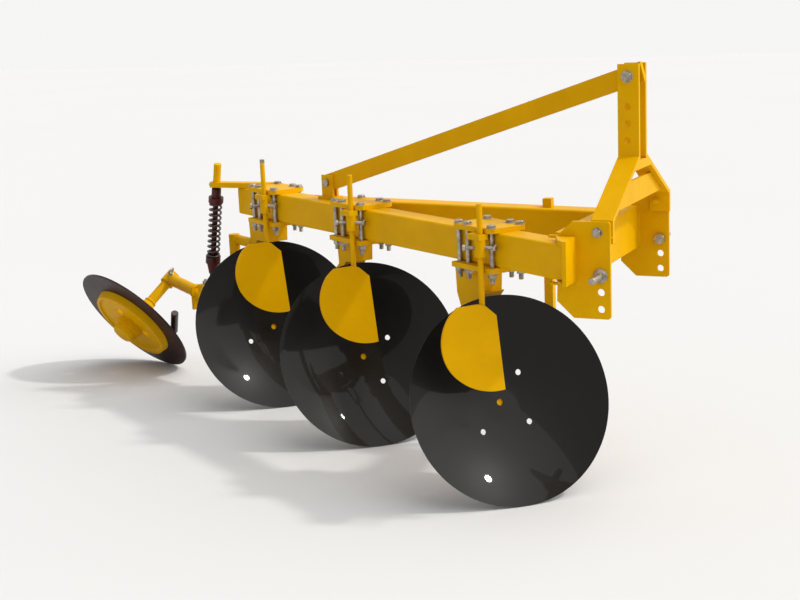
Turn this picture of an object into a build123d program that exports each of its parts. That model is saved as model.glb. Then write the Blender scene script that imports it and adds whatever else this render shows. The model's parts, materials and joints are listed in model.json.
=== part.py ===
from build123d import *
import os
from math import sin, cos, radians, sqrt

os.makedirs("parts", exist_ok=True)

# Frame of the whole plough: X forward, Y to the left, Z up, ground at zero.
# Where the upper lower-link holes stand.
hitch_x = 1337.0
hitch_y = -295.5
hitch_z = 742.0

# Hitch plates and their holes.
plate_out = 340.0
plate_t = 12.0
hole_pitch = 50.0
hole_r = 11.5
link_pin_r = 11.0
plate_bolt_x = -8.0
plate_bolt_z = 126.0
plate_bolt_r = 8.0

# Cross tube between the plates.
tube_front = -72.0
tube_deep = 90.0
tube_z0 = 712.0
tube_z1 = 852.0
tube_wall = 10.0

# Main beam: square tube turned from the line of travel.
beam_turn = 32.0
beam_wide = 90.0
beam_tall = 106.0
beam_wall = 8.0
beam_round = 9.0
beam_z = 787.0
beam_mid = 10.0
beam_near = beam_mid + beam_wide / 2
beam_far = beam_mid - beam_wide / 2
beam_end = 2036.0
beam_ox = hitch_x - 40.0
beam_oy = hitch_y - 375.0
beam_dir = (-cos(radians(beam_turn)), sin(radians(beam_turn)), 0)
beam_side = (-sin(radians(beam_turn)), -cos(radians(beam_turn)), 0)
beam_low = beam_z - beam_tall / 2
beam_high = beam_z + beam_tall / 2

# Blocks that cut ends to a mitre.
cut_long = 2000.0
cut_deep = 1000.0
cut_tall = 400.0

# Hangers, along the beam: name, clamp, disc, leg, half width of the leg, height of its bend,
# scraper rod, top of the rod, lift and shift of the blade, turn of the four disc holes.
hangers = (
    ("front", 432.0, 328.0, 520.0, 66.0, 636.0, 366.0, 932.0, 0.0, 0.0, 50.0),
    ("middle", 1182.0, 1142.0, 1267.0, 50.0, 636.0, 1111.0, 963.0, 22.0, 10.0, 31.0),
    ("rear", 1803.0, 1819.0, 1920.0, 78.0, 636.0, 1742.0, 974.0, 34.0, 9.0, 26.0),
)
clamp_long = 206.0
clamp_wide = 148.0
clamp_t = 16.0
clamp_bolt_s = 84.0
clamp_bolt_y = 55.0
clamp_bolt_r = 8.0
clamp_bolts_at = (
    (-clamp_bolt_s, -clamp_bolt_y), (-clamp_bolt_s, clamp_bolt_y),
    (clamp_bolt_s, -clamp_bolt_y), (clamp_bolt_s, clamp_bolt_y),
    (-36.0, -clamp_bolt_y), (38.0, clamp_bolt_y),
)
clearance = 0.06
leg_near = 35.0
leg_thick = 88.0
leg_front = 162.0
leg_back = 230.0

# Scrapers.
rod_y = 95.0
rod_r = 9.0
blade_lap = 560.0
blade_t = 8.0

# Discs.
disc_r = 330.0
disc_deep = 100.5
disc_t = 6.0
disc_y = 22.0
disc_z = 314.35
disc_flat_r = 60.0
disc_hole_r = 9.5
disc_hole_pcd = 113.0
disc_axis = (0.6448, -0.6974, 0.3128)
shaft_r = 20.0
housing_r = 55.0
housing_near = -126.0
housing_far = -226.0

# Rear furrow wheel.
wheel_r = 280.0
wheel_behind = 2459.0
wheel_left = 811.0
wheel_x = hitch_x - wheel_behind
wheel_y = hitch_y + wheel_left
wheel_z = 222.2
wheel_axis = (-0.299, -0.7443, -0.5971)


def beam_point(s, y, z):
    """World place of a point given along, beside and above the main beam."""
    px = beam_ox + beam_dir[0] * s + beam_side[0] * y
    py = beam_oy + beam_dir[1] * s + beam_side[1] * y
    return (px, py, z)


def hitch_point(x, y, z):
    """World place of a point measured from the hitch holes."""
    return (hitch_x + x, hitch_y + y, hitch_z + z)


def save(builder, name):
    builder.part.label = name
    export_step(builder.part, "parts/" + name + ".step")


beam_plane = Plane(origin=(beam_ox, beam_oy, 0), x_dir=beam_dir, z_dir=(0, 0, 1))
side_plane = Plane(origin=(hitch_x, hitch_y, hitch_z), x_dir=(1, 0, 0), z_dir=(0, -1, 0))
front_plane = Plane(origin=(hitch_x, hitch_y, hitch_z), x_dir=(0, 1, 0), z_dir=(1, 0, 0))


# Main beam, cut square to the line of travel at its front end.
with BuildPart(beam_plane) as main_beam:
    with Locations((beam_end / 2 - 100, beam_mid, beam_z)):
        Box(beam_end + 200, beam_wide, beam_tall)
    fillet(main_beam.edges().filter_by(lambda e: e.length > beam_end), beam_round)
    with Locations((beam_end / 2 - 112, beam_mid, beam_z)):
        Box(beam_end + 200, beam_wide - 2 * beam_wall, beam_tall - 2 * beam_wall,
            mode=Mode.SUBTRACT)
with BuildPart() as main_beam_cut:
    add(main_beam.part)
    with Locations((hitch_x + tube_front - 12 + cut_deep / 2, beam_oy, beam_z)):
        Box(cut_deep, cut_deep, cut_tall, mode=Mode.SUBTRACT)
save(main_beam_cut, "main_beam")

# Cross tube, mitred against the rear face of the main beam.
tube_mid = (tube_z0 + tube_z1) / 2
inner_half = plate_out - plate_t
with BuildPart() as cross_tube:
    with Locations((hitch_x + tube_front - tube_deep / 2, hitch_y, tube_mid)):
        Box(tube_deep, 2 * inner_half, tube_z1 - tube_z0)
        Box(tube_deep - 2 * tube_wall, 2 * inner_half + 2, tube_z1 - tube_z0 - 2 * tube_wall,
            mode=Mode.SUBTRACT)
    with Locations(Location(beam_point(200, beam_far + cut_deep / 2, beam_z),
                            (0, 0, 180 - beam_turn))):
        Box(cut_long, cut_deep, cut_tall, mode=Mode.SUBTRACT)
save(cross_tube, "cross_tube")

# Collar around the front end of the main beam, outside the right plate.
collar_wide = 96.0
collar_out = -plate_out - collar_wide
collar_low = beam_low - 10
collar_high = tube_z1 + 3
lip_top = collar_high - beam_high
with BuildPart() as beam_collar:
    for lip_low, lip_t in ((collar_low, 10), (beam_high, lip_top)):
        with BuildSketch(Plane.XY.offset(lip_low)):
            with BuildLine():
                Polyline(
                    (hitch_x + tube_front - 12, hitch_y - plate_out),
                    (hitch_x + tube_front - 12, hitch_y + collar_out),
                    (hitch_x - 104, hitch_y + collar_out + 26),
                    (hitch_x - 134, hitch_y - plate_out),
                    close=True,
                )
            make_face()
        extrude(amount=lip_t)
    with Locations((hitch_x + tube_front - 6, hitch_y - plate_out - collar_wide / 2,
                    (collar_low + collar_high) / 2)):
        Box(12, collar_wide, collar_high - collar_low)
save(beam_collar, "beam_collar")

# Parking stand, a square bar through the inner beam.
stand_x = hitch_x - 380.0
stand_y = hitch_y + 316.0
stand_size = 30.0
stand_sleeve = 46.0
stand_gap = 0.4
stand_top = 870.0
stand_foot = 110.0
stand_foot_t = 8.0

# Inner beam from the left end of the cross tube to the main beam.
inner_size = 90.0
inner_x0 = hitch_x + tube_front - tube_deep
inner_y0 = hitch_y + 284.0
inner_s1 = 1492.0
inner_x1, inner_y1, inner_zz = beam_point(inner_s1, beam_far, 0)
inner_len = sqrt((inner_x1 - inner_x0) ** 2 + (inner_y1 - inner_y0) ** 2)
inner_dir = ((inner_x1 - inner_x0) / inner_len, (inner_y1 - inner_y0) / inner_len, 0)
inner_plane = Plane(origin=(inner_x0, inner_y0, 0), x_dir=inner_dir, z_dir=(0, 0, 1))
inner_z = beam_high - inner_size / 2
with BuildPart(inner_plane) as inner_raw:
    with Locations((inner_len / 2, 0, inner_z)):
        Box(inner_len + 400, inner_size, inner_size)
        fillet(inner_raw.edges().filter_by(lambda e: e.length > inner_len), beam_round)
        Box(inner_len + 402, inner_size - 14, inner_size - 14, mode=Mode.SUBTRACT)
with BuildPart() as inner_beam:
    add(inner_raw.part)
    with Locations((inner_x0 + cut_deep / 2, inner_y0, inner_z)):
        Box(cut_deep, cut_deep, cut_tall, mode=Mode.SUBTRACT)
    with Locations((stand_x, stand_y, inner_z)):
        Box(stand_sleeve, stand_sleeve, cut_tall, mode=Mode.SUBTRACT)
    with Locations(Location(beam_point(inner_s1, beam_far + cut_deep / 2, beam_z),
                            (0, 0, 180 - beam_turn))):
        Box(cut_long, cut_deep, cut_tall, mode=Mode.SUBTRACT)
save(inner_beam, "inner_beam")

# Hitch plates: outline in side view, the same on both sides.
plate_outline = (
    (29, -128), (-82, -128), (-133, -79), (-124, 118), (-84, 157), (29, 157),
)


def hitch_plate(y_outer, direction):
    """One hitch plate from its outer face inwards."""
    plane = Plane(origin=(hitch_x, hitch_y + y_outer, hitch_z), x_dir=(1, 0, 0),
                  z_dir=(0, -direction, 0))
    flip = direction
    with BuildPart() as plate:
        with BuildSketch(Plane(origin=(hitch_x, hitch_y + y_outer, hitch_z),
                               x_dir=(1, 0, 0), z_dir=(0, -1, 0))):
            with BuildLine():
                Polyline(*plate_outline, close=True)
            make_face()
            with Locations(*[(0, -hole_pitch * i) for i in range(3)]):
                Circle(hole_r, mode=Mode.SUBTRACT)
            with Locations((plate_bolt_x, plate_bolt_z)):
                Circle(plate_bolt_r + clearance, mode=Mode.SUBTRACT)
        extrude(amount=-flip * plate_t)
        fillet(plate.edges().filter_by(Axis.Y).group_by(Axis.X)[-1], 9)
    return plate


with BuildPart() as plate_right:
    add(hitch_plate(-plate_out, 1).part)
    with Locations((hitch_x + tube_front - 12 - 100, hitch_y - plate_out, beam_z)):
        Box(200, 60, beam_tall, mode=Mode.SUBTRACT)
save(plate_right, "plate_right")
with BuildPart() as plate_left:
    add(hitch_plate(plate_out, -1).part)
save(plate_left, "plate_left")

# Mast bars: upright at the top, spread below, upright again inside the plates.
mast_out = 45.0
mast_t = 14.0
mast_x0 = -30.0
mast_x1 = 35.0
top_hole_z = 550.0
mast_holes = (top_hole_z, 460.0, 410.0, 360.0)
mast_hole_r = 9.75
mast_side = inner_half
mast_bend_z = 308.0
mast_foot_z = 156.0
mast_end_z = 92.0
mast_top = 575.0


def mast_bar(sign):
    """One bent mast bar; sign is -1 on the right and 1 on the left."""
    with BuildPart() as bar:
        with BuildSketch(Plane(origin=hitch_point(mast_x0, 0, 0), x_dir=(0, 1, 0),
                               z_dir=(1, 0, 0))):
            with BuildLine():
                Polyline(
                    (sign * mast_out, mast_top + 12),
                    (sign * (mast_out - mast_t), mast_top + 12),
                    (sign * (mast_out - mast_t), mast_bend_z - 4),
                    (sign * (mast_side - mast_t), mast_foot_z - 4),
                    (sign * (mast_side - mast_t), mast_end_z),
                    (sign * mast_side, mast_end_z),
                    (sign * mast_side, mast_foot_z + 4),
                    (sign * mast_out, mast_bend_z + 4),
                    close=True,
                )
            make_face()
        extrude(amount=mast_x1 - mast_x0)
        with Locations(*[Location(hitch_point(0, sign * (mast_out - mast_t / 2), z),
                                  (90, 0, 0)) for z in mast_holes]):
            Cylinder(mast_hole_r, mast_t + 2, mode=Mode.SUBTRACT)
        with Locations(Location(hitch_point(plate_bolt_x, sign * (mast_side - mast_t / 2),
                                            plate_bolt_z), (90, 0, 0))):
            Cylinder(plate_bolt_r + clearance, mast_t + 2, mode=Mode.SUBTRACT)
        with Locations(Location(hitch_point(mast_x0 - 20, sign * mast_out, mast_top + 22),
                                (0, -16, 0))):
            Box(150, 60, 30, mode=Mode.SUBTRACT)
    return bar


save(mast_bar(-1), "mast_right")
save(mast_bar(1), "mast_left")

# Cross plates between the sloping parts of the mast bars: node, front face, low and high edge.
mast_slope = (mast_side - mast_out) / (mast_bend_z - mast_foot_z)
mast_plates = (
    ("mast_tie", 8.0, 170.0, 240.0),
    ("mast_spacer", 25.0, 272.0, 299.0),
)
for name, plate_x, low, high in mast_plates:
    y_low = mast_out - mast_t + mast_slope * (mast_bend_z - 4 - low)
    y_high = mast_out - mast_t + mast_slope * (mast_bend_z - 4 - high)
    with BuildPart() as mast_plate:
        with BuildSketch(Plane(origin=hitch_point(plate_x, 0, 0), x_dir=(0, 1, 0),
                               z_dir=(1, 0, 0))):
            with BuildLine():
                Polyline((-y_high, high), (y_high, high), (y_low, low), (-y_low, low),
                         close=True)
            make_face()
        extrude(amount=10)
    save(mast_plate, name)

# Stay from the mast to the lug on the main beam.
lug_s = 1440.0
lug_y = -20.0
lug_x, lug_yy, lug_zz = beam_point(lug_s, lug_y, 0)
stay_z0 = hitch_z + top_hole_z
stay_z1 = 900.0
stay_run = sqrt((lug_x - hitch_x) ** 2 + (lug_yy - hitch_y) ** 2)
stay_len = sqrt(stay_run ** 2 + (stay_z0 - stay_z1) ** 2)
stay_dir = ((lug_x - hitch_x) / stay_len, (lug_yy - hitch_y) / stay_len,
            (stay_z1 - stay_z0) / stay_len)
stay_side = (-(lug_yy - hitch_y) / stay_run, (lug_x - hitch_x) / stay_run, 0)
stay_plane = Plane(origin=(hitch_x, hitch_y, stay_z0), x_dir=stay_dir, z_dir=stay_side)
stay_t = 12.0
stay_deep = 62.0
top_pin_r = 9.5
with BuildPart(stay_plane) as stay:
    with Locations((stay_len / 2 - 10, 0, 0)):
        Box(stay_len + 70, stay_deep, stay_t)
    with Locations((stay_len, 0, 0)):
        Cylinder(8 + clearance, stay_t + 2, mode=Mode.SUBTRACT)
with BuildPart() as stay_cut:
    add(stay.part)
    with Locations(Location((hitch_x, hitch_y, stay_z0), (90, 0, 0))):
        Cylinder(top_pin_r + clearance, 60, mode=Mode.SUBTRACT)
save(stay_cut, "stay")

stay_flat = Plane(origin=(lug_x, lug_yy, 0), x_dir=(-stay_side[1], stay_side[0], 0),
                  z_dir=(0, 0, 1))
with BuildPart(stay_flat) as stay_lug:
    with Locations((0, 0, beam_high + 5)):
        Box(80, 50, 10)
    for side in (-1, 1):
        with Locations((0, side * (stay_t / 2 + 5), beam_high + 44)):
            Box(54, 10, 88)
    with Locations(Location((0, 0, stay_z1), (90, 0, 0))):
        Cylinder(8 + clearance, 60, mode=Mode.SUBTRACT)
save(stay_lug, "stay_lug")
with BuildPart(stay_flat) as stay_bolt:
    with Locations(Location((0, 0, stay_z1), (90, 0, 0))):
        Cylinder(8, 50)
    for side in (-1, 1):
        with Locations(Location((0, side * 21, stay_z1), (90, 0, 0))):
            Cylinder(13, 10)
save(stay_bolt, "stay_bolt")

# Top pin through the mast bars and the stay.
with BuildPart() as top_pin:
    with Locations(Location(hitch_point(0, 0, top_hole_z), (90, 0, 0))):
        Cylinder(top_pin_r, 2 * mast_out + 26)
    for side in (-1, 1):
        with Locations(Location(hitch_point(0, side * (mast_out + 6), top_hole_z), (90, 0, 0))):
            Cylinder(16, 12)
save(top_pin, "top_pin")

# Lower link pins, collar against the outer face, nut against the inner face.
pin_reach = 90.0
for sign, label in ((-1, "pin_right"), (1, "pin_left")):
    with BuildPart() as pin:
        with Locations(Location(hitch_point(0, sign * (plate_out + pin_reach / 2 - 16), 0),
                                (90, 0, 0))):
            Cylinder(link_pin_r, pin_reach + 32)
        with Locations(Location(hitch_point(0, sign * (plate_out + 6), 0), (90, 0, 0))):
            Cylinder(20, 12)
        with Locations(Location(hitch_point(0, sign * (plate_out - plate_t - 9), 0),
                                (90, 0, 0))):
            Cylinder(19, 18)
    save(pin, label)

# Bolts through plates and mast feet.
with BuildPart() as plate_bolts:
    for sign in (-1, 1):
        with Locations(Location(hitch_point(plate_bolt_x, sign * (plate_out - 13),
                                            plate_bolt_z), (90, 0, 0))):
            Cylinder(plate_bolt_r, 60)
        with Locations(Location(hitch_point(plate_bolt_x, sign * (plate_out + 5),
                                            plate_bolt_z), (90, 0, 0))):
            Cylinder(13, 10)
        with Locations(Location(hitch_point(plate_bolt_x,
                                            sign * (mast_side - mast_t - 6.5),
                                            plate_bolt_z), (90, 0, 0))):
            Cylinder(13, 13)
save(plate_bolts, "plate_bolts")

# Clamp bolts of all three hangers.
bolt_top = beam_high + clamp_t
bolt_low = beam_low - clamp_t
with BuildPart(beam_plane) as clamp_bolts:
    for row in hangers:
        for ds, dy in clamp_bolts_at:
            bolt_s = row[1] + ds
            bolt_y = beam_mid + dy
            with Locations((bolt_s, bolt_y, (bolt_top + bolt_low - 30) / 2 + 5)):
                Cylinder(clamp_bolt_r, bolt_top - bolt_low + 40)
            with Locations((bolt_s, bolt_y, bolt_top + 5), (bolt_s, bolt_y, bolt_low - 6.5)):
                Cylinder(13, 10)
save(clamp_bolts, "clamp_bolts")

# Top clamp plates and standards, scraper holders, scrapers, discs and hubs.
disc_plane_dir = Vector(*disc_axis).normalized()
level_dir = (-disc_plane_dir.Y, disc_plane_dir.X, 0)
disc_up = disc_plane_dir.cross(Vector(*level_dir).normalized())
disc_up = -disc_up
for (name, clamp_s, disc_s, leg_s, leg_half, bend_z, rod_s, rod_top, lift, shift,
     hole_turn) in hangers:
    bolt_places = [(clamp_s + ds, beam_mid + dy) for ds, dy in clamp_bolts_at]
    with BuildPart(beam_plane) as clamp_top:
        with Locations((clamp_s, beam_mid, beam_high + clamp_t / 2)):
            Box(clamp_long, clamp_wide, clamp_t)
        with Locations(*[(bs, by, beam_high + clamp_t / 2) for bs, by in bolt_places]):
            Cylinder(clamp_bolt_r + clearance, clamp_t + 2, mode=Mode.SUBTRACT)
        chamfer(clamp_top.edges().filter_by(Axis.Z).filter_by(
            lambda e: e.length > clamp_t - 1 and e.geom_type == GeomType.LINE), 18)
    save(clamp_top, "clamp_top_" + name)

    disc_org = beam_point(disc_s, disc_y, disc_z)
    disc_plane = Plane(origin=disc_org, x_dir=level_dir, z_dir=disc_plane_dir)
    leg_plane = Plane(origin=beam_point(0, leg_near, 0), x_dir=beam_dir, z_dir=beam_side)
    with BuildPart() as standard:
        with Locations(Location(beam_point(clamp_s, beam_mid, beam_low - clamp_t / 2),
                                (0, 0, 180 - beam_turn))):
            Box(clamp_long, clamp_wide, clamp_t)
        with BuildSketch(leg_plane):
            with BuildLine():
                Polyline(
                    (leg_s - leg_half, -(beam_low - clamp_t)),
                    (leg_s + leg_half, -(beam_low - clamp_t)),
                    (leg_s + leg_half - 6, -622),
                    (disc_s + leg_back, -572),
                    (disc_s + leg_back, -262),
                    (disc_s + leg_front, -262),
                    (disc_s + leg_front, -590),
                    (disc_s + leg_front - 44, -bend_z),
                    (leg_s - leg_half + 6, -bend_z),
                    close=True,
                )
            make_face()
        extrude(amount=-leg_thick)
        with Locations(Location(beam_point(clamp_s + clamp_bolt_s + 62, beam_mid - 63,
                                           beam_low - clamp_t - 25), (0, 0, 180 - beam_turn))):
            Box(160, 50, 50, mode=Mode.SUBTRACT)
        if name == "rear":
            with Locations(leg_plane * Location((leg_s + 16, -699, 0))):
                Cylinder(8, 3 * leg_thick, mode=Mode.SUBTRACT)
        with Locations(disc_plane * Location((0, 0, (housing_near + housing_far) / 2))):
            Cylinder(housing_r, housing_near - housing_far)
        with Locations(disc_plane * Location((0, 0, housing_near + 25))):
            Cylinder(housing_r + 30, 50, mode=Mode.SUBTRACT)
        with Locations(disc_plane * Location((0, 0, housing_far))):
            Cylinder(shaft_r + clearance, 300, mode=Mode.SUBTRACT)
        with Locations(disc_plane * Location((0, 0, housing_far - 40))):
            Cylinder(44, 80, mode=Mode.SUBTRACT)
        with Locations(*[beam_point(bs, by, beam_low - clamp_t / 2) for bs, by in bolt_places]):
            Cylinder(clamp_bolt_r + clearance, clamp_t + 2, mode=Mode.SUBTRACT)
    save(standard, "standard_" + name)

    # Scraper: round rod and a half-moon blade in an upright plane by the disc.
    rod_org = beam_point(rod_s, rod_y, 0)
    blade_plane = Plane(origin=rod_org, x_dir=level_dir,
                        z_dir=(disc_plane_dir.X, disc_plane_dir.Y, 0))
    tongue_s0 = max(rod_s - 18, clamp_s - clamp_bolt_s + 14)
    tongue_s1 = rod_s + 42
    holder_y1 = rod_y + 18
    with BuildPart() as holder:
        with Locations(Location(beam_point((tongue_s0 + tongue_s1) / 2,
                                           (beam_near + holder_y1) / 2, beam_high - 9),
                                (0, 0, 180 - beam_turn))):
            Box(tongue_s1 - tongue_s0, holder_y1 - beam_near, 18)
        with Locations(Location(beam_point(rod_s + 10, rod_y + 1, beam_high - 9),
                                (0, 0, 180 - beam_turn))):
            Box(56, 34, 18)
        with Locations(beam_point(rod_s, rod_y, 801)):
            Cylinder(18, 62)
        with Locations(beam_point(rod_s, rod_y, 800)):
            Cylinder(rod_r + clearance, 120, mode=Mode.SUBTRACT)
        with Locations(*[beam_point(bs, by, 800) for bs, by in bolt_places]):
            Cylinder(clamp_bolt_r + clearance, 120, mode=Mode.SUBTRACT)
        with Locations(Location(beam_point(rod_s, beam_near - 50, 800), (0, 0, 180 - beam_turn))):
            Box(200, 100, 200, mode=Mode.SUBTRACT)
    save(holder, "scraper_holder_" + name)
    with BuildPart() as scraper:
        with Locations(beam_point(rod_s, rod_y, (rod_top + blade_lap + lift) / 2)):
            Cylinder(rod_r, rod_top - blade_lap - lift)
        with BuildSketch(blade_plane.offset(rod_r - 3)):
            with BuildLine():
                Polyline((64 + shift, 349 + lift), (41 + shift, 587 + lift),
                         (6 + shift, 619 + lift), (-18 + shift, 626 + lift),
                         (-86 + shift, 622 + lift), (-110 + shift, 600 + lift))
                ThreePointArc((-110 + shift, 600 + lift), (-140 + shift, 500 + lift),
                              (-81 + shift, 389 + lift))
                ThreePointArc((-81 + shift, 389 + lift), (-14 + shift, 354 + lift),
                              (64 + shift, 349 + lift))
            make_face()
        extrude(amount=blade_t)
    save(scraper, "scraper_" + name)

    # Disc and its hub, turning together.
    sphere_r = (disc_r ** 2 + disc_deep ** 2) / (2 * disc_deep)
    flat_z = -disc_deep + sphere_r - sqrt(sphere_r ** 2 - disc_flat_r ** 2)
    mid_r = 200.0
    mid_z = -disc_deep + sphere_r - sqrt(sphere_r ** 2 - mid_r ** 2)
    with BuildPart(disc_plane) as disc:
        with BuildSketch(Plane(origin=disc_org, x_dir=level_dir, z_dir=disc_up)):
            with BuildLine():
                Line((11, flat_z), (disc_flat_r, flat_z))
                ThreePointArc((disc_flat_r, flat_z), (mid_r, mid_z), (disc_r, 0))
                Line((disc_r, 0), (disc_r, -3))
                ThreePointArc((disc_r, -3), (mid_r + 2, mid_z - disc_t - 1),
                              (disc_flat_r, flat_z - disc_t))
                Line((disc_flat_r, flat_z - disc_t), (11, flat_z - disc_t))
                Line((11, flat_z - disc_t), (11, flat_z))
            make_face()
        revolve(axis=Axis(disc_org, disc_plane_dir))
        with PolarLocations(disc_hole_pcd, 4, start_angle=hole_turn):
            with Locations((0, 0, -80)):
                Cylinder(disc_hole_r, 60, mode=Mode.SUBTRACT)
    save(disc, "disc_" + name)
    hub_top = flat_z - disc_t
    with BuildPart(disc_plane) as hub:
        with Locations((0, 0, hub_top - 8)):
            Cylinder(56, 16)
        with Locations((0, 0, (hub_top + housing_far - 22) / 2)):
            Cylinder(shaft_r, hub_top - housing_far + 22)
        with Locations((0, 0, housing_far - 5 - 9)):
            Cylinder(30, 18)
    save(hub, "hub_" + name)

# Rear furrow wheel on its inclined axle.
wheel_org = (wheel_x, wheel_y, wheel_z)
wheel_dir = Vector(*wheel_axis).normalized()
wheel_level = (-wheel_dir.Y, wheel_dir.X, 0)
wheel_plane = Plane(origin=wheel_org, x_dir=wheel_level, z_dir=wheel_dir)
wheel_up = wheel_dir.cross(Vector(*wheel_level).normalized())
axle_r = 17.0
wheel_hole_turn = 89.0
wheel_hole_r = 20.0
wheel_hole_pcd = 87.0
with BuildPart(wheel_plane) as wheel:
    with Locations((0, 0, -8)):
        Cylinder(wheel_r, 8)
        Cylinder(120, 10, mode=Mode.SUBTRACT)
save(wheel, "wheel_disc")
with BuildPart() as wheel_hub:
    with BuildSketch(Plane(origin=wheel_org, x_dir=wheel_level, z_dir=-wheel_up)):
        with BuildLine():
            Polyline((0, -55), (57, -55), (57, -4), (186, -4), (178, 26), (165, 26),
                     (158, 18), (57, 18), (57, 50), (47, 50), (47, 74), (41, 80), (0, 80),
                     close=True)
        make_face()
    revolve(axis=Axis(wheel_org, wheel_dir))
    with Locations(wheel_plane * Location((0, 0, -4))):
        Cylinder(axle_r + clearance, 110, mode=Mode.SUBTRACT)
        with PolarLocations(wheel_hole_pcd, 3, start_angle=wheel_hole_turn):
            Cylinder(wheel_hole_r, 80, mode=Mode.SUBTRACT)
save(wheel_hub, "wheel_hub")

# Spring strut from the bracket behind the rear clamp down to the arm.
strut_y = 105.0
strut_top_s = 2101.0
strut_top_z = 933.0
strut_low_s = 2225.0
strut_low_z = 437.0
strut_top = Vector(*beam_point(strut_top_s, strut_y, strut_top_z))
strut_low = Vector(*beam_point(strut_low_s, strut_y, strut_low_z))
strut_dir = (strut_low - strut_top).normalized()
strut_plane = Plane(origin=strut_top, z_dir=strut_dir, x_dir=beam_side)
strut_len = (strut_low - strut_top).length
strut_rod_r = 11.0
strut_seat = 40.0
strut_screw_r = 15.0
screw_long = 78.0

# Crank arm that carries the wheel: a stub on the rear leg, a drop, a tube and the axle.
arm_stub_r = 20.0
arm_y = 28.0
arm_s = 2150.0
arm_top_z = 612.0
arm_low_z = 350.0
arm_flange_s = 2431.0
arm_flange_y = 80.0
arm_r = 26.0
axle_tube_r = 22.0
elbow_axial = -260.0
rear_leg_s = hangers[2][3] + hangers[2][4] - 10
arm_stub_y = 14.0
arm_elbow = wheel_plane.from_local_coords((0, 0, elbow_axial))


def rod_between(a, b, r):
    """Round bar between two points."""
    v = Vector(*b) - Vector(*a)
    plane = Plane(origin=a, z_dir=v)
    with BuildPart(plane) as bar:
        with Locations((0, 0, v.length / 2)):
            Cylinder(r, v.length)
    return bar.part


with BuildPart() as wheel_arm:
    add(rod_between(beam_point(rear_leg_s, arm_stub_y, arm_top_z),
                    beam_point(arm_s + 30, arm_stub_y, arm_top_z), arm_stub_r))
    add(standard.part, mode=Mode.SUBTRACT)
    add(rod_between(beam_point(arm_s, arm_y, arm_top_z + 24),
                    beam_point(arm_s, arm_y, arm_low_z - 24), 22))
    add(rod_between(beam_point(arm_s, arm_y, arm_low_z),
                    beam_point(arm_flange_s, arm_flange_y, arm_low_z), 24))
    add(rod_between(beam_point(arm_flange_s, arm_flange_y, 364),
                    (arm_elbow.X, arm_elbow.Y, arm_elbow.Z), arm_r))
    with Locations(Location(beam_point(arm_flange_s, arm_flange_y, 336),
                            (0, 0, 180 - beam_turn))):
        Box(14, 48, 94)
    with Locations(Location(beam_point(2250, 90, 384), (0, 0, 180 - beam_turn))):
        Box(130, 76, 68)
    with Locations(strut_plane * Location((0, 0, strut_len + strut_seat - 30))):
        Cylinder(strut_rod_r + clearance, 60, mode=Mode.SUBTRACT)
    with Locations(wheel_plane * Location((0, 0, elbow_axial))):
        Cylinder(31, 58)
    with Locations(wheel_plane * Location((0, 0, (elbow_axial - 60) / 2))):
        Cylinder(axle_tube_r, -elbow_axial - 60)
    with Locations(wheel_plane * Location((0, 0, -88))):
        Cone(axle_tube_r, 50, 60)
    with Locations(wheel_plane * Location((0, 0, -20))):
        Cylinder(axle_r, 140)
save(wheel_arm, "wheel_arm")

# Spring strut pieces.
bracket_t = 20.0
bracket_wide = 50.0
bracket_long = 300.0
bracket_x, bracket_y, bracket_zz = beam_point(2121, strut_y, 0)
with BuildPart() as strut_bracket:
    with Locations((bracket_x - 18 + bracket_long / 2, bracket_y, beam_high + bracket_t / 2)):
        Box(bracket_long, bracket_wide, bracket_t)
    with Locations(Location(beam_point(hangers[2][1] + clamp_long / 2 - cut_deep / 2, beam_mid,
                                       beam_high + bracket_t / 2), (0, 0, 180 - beam_turn))):
        Box(cut_deep, cut_deep, cut_tall, mode=Mode.SUBTRACT)
    with Locations(strut_plane * Location((0, 0, (screw_long + 6) / 2))):
        Cylinder(strut_screw_r, screw_long + 6)
    with Locations(strut_plane * Location((0, 0, screw_long + 50))):
        Cylinder(strut_rod_r + clearance, 100, mode=Mode.SUBTRACT)
save(strut_bracket, "strut_bracket")
with BuildPart(strut_plane) as strut_rod:
    with Locations((0, 0, (screw_long + strut_len + strut_seat) / 2)):
        Cylinder(strut_rod_r, strut_len + strut_seat - screw_long)
save(strut_rod, "strut_rod")

# Strut trim: name, start and end along the strut, outer radius, inner radius.
strut_rings = (
    ("strut_tube", 103.0, 140.0, 19.0, 11.0),
    ("strut_flange", 140.0, 161.0, 30.0, 11.0),
    ("strut_spring", 161.0, 395.0, 27.0, 18.0),
    ("strut_collar", 395.0, 425.0, 30.0, 11.0),
)
for name, start, end, outer, inner in strut_rings:
    with BuildPart(strut_plane) as ring:
        with Locations((0, 0, (start + end) / 2)):
            Cylinder(outer, end - start)
            Cylinder(inner + clearance, end - start + 2, mode=Mode.SUBTRACT)
    save(ring, name)

# Parking stand and its sleeve.
with BuildPart() as stand_guide:
    with Locations((stand_x, stand_y, inner_z - 8)):
        Box(stand_sleeve, stand_sleeve, inner_size + 16)
        Box(stand_size + 2 * stand_gap, stand_size + 2 * stand_gap, inner_size + 40,
            mode=Mode.SUBTRACT)
save(stand_guide, "stand_sleeve")
with BuildPart() as stand:
    with Locations((stand_x, stand_y, (stand_top + stand_foot_t) / 2)):
        Box(stand_size, stand_size, stand_top - stand_foot_t)
    with Locations((stand_x, stand_y, stand_foot_t / 2)):
        Box(stand_foot, stand_foot, stand_foot_t)
save(stand, "stand")
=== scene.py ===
import json
import math

import bmesh
import bpy
import numpy as np
from bpy.props import FloatProperty, FloatVectorProperty, IntProperty, PointerProperty
from mathutils import Matrix


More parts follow.
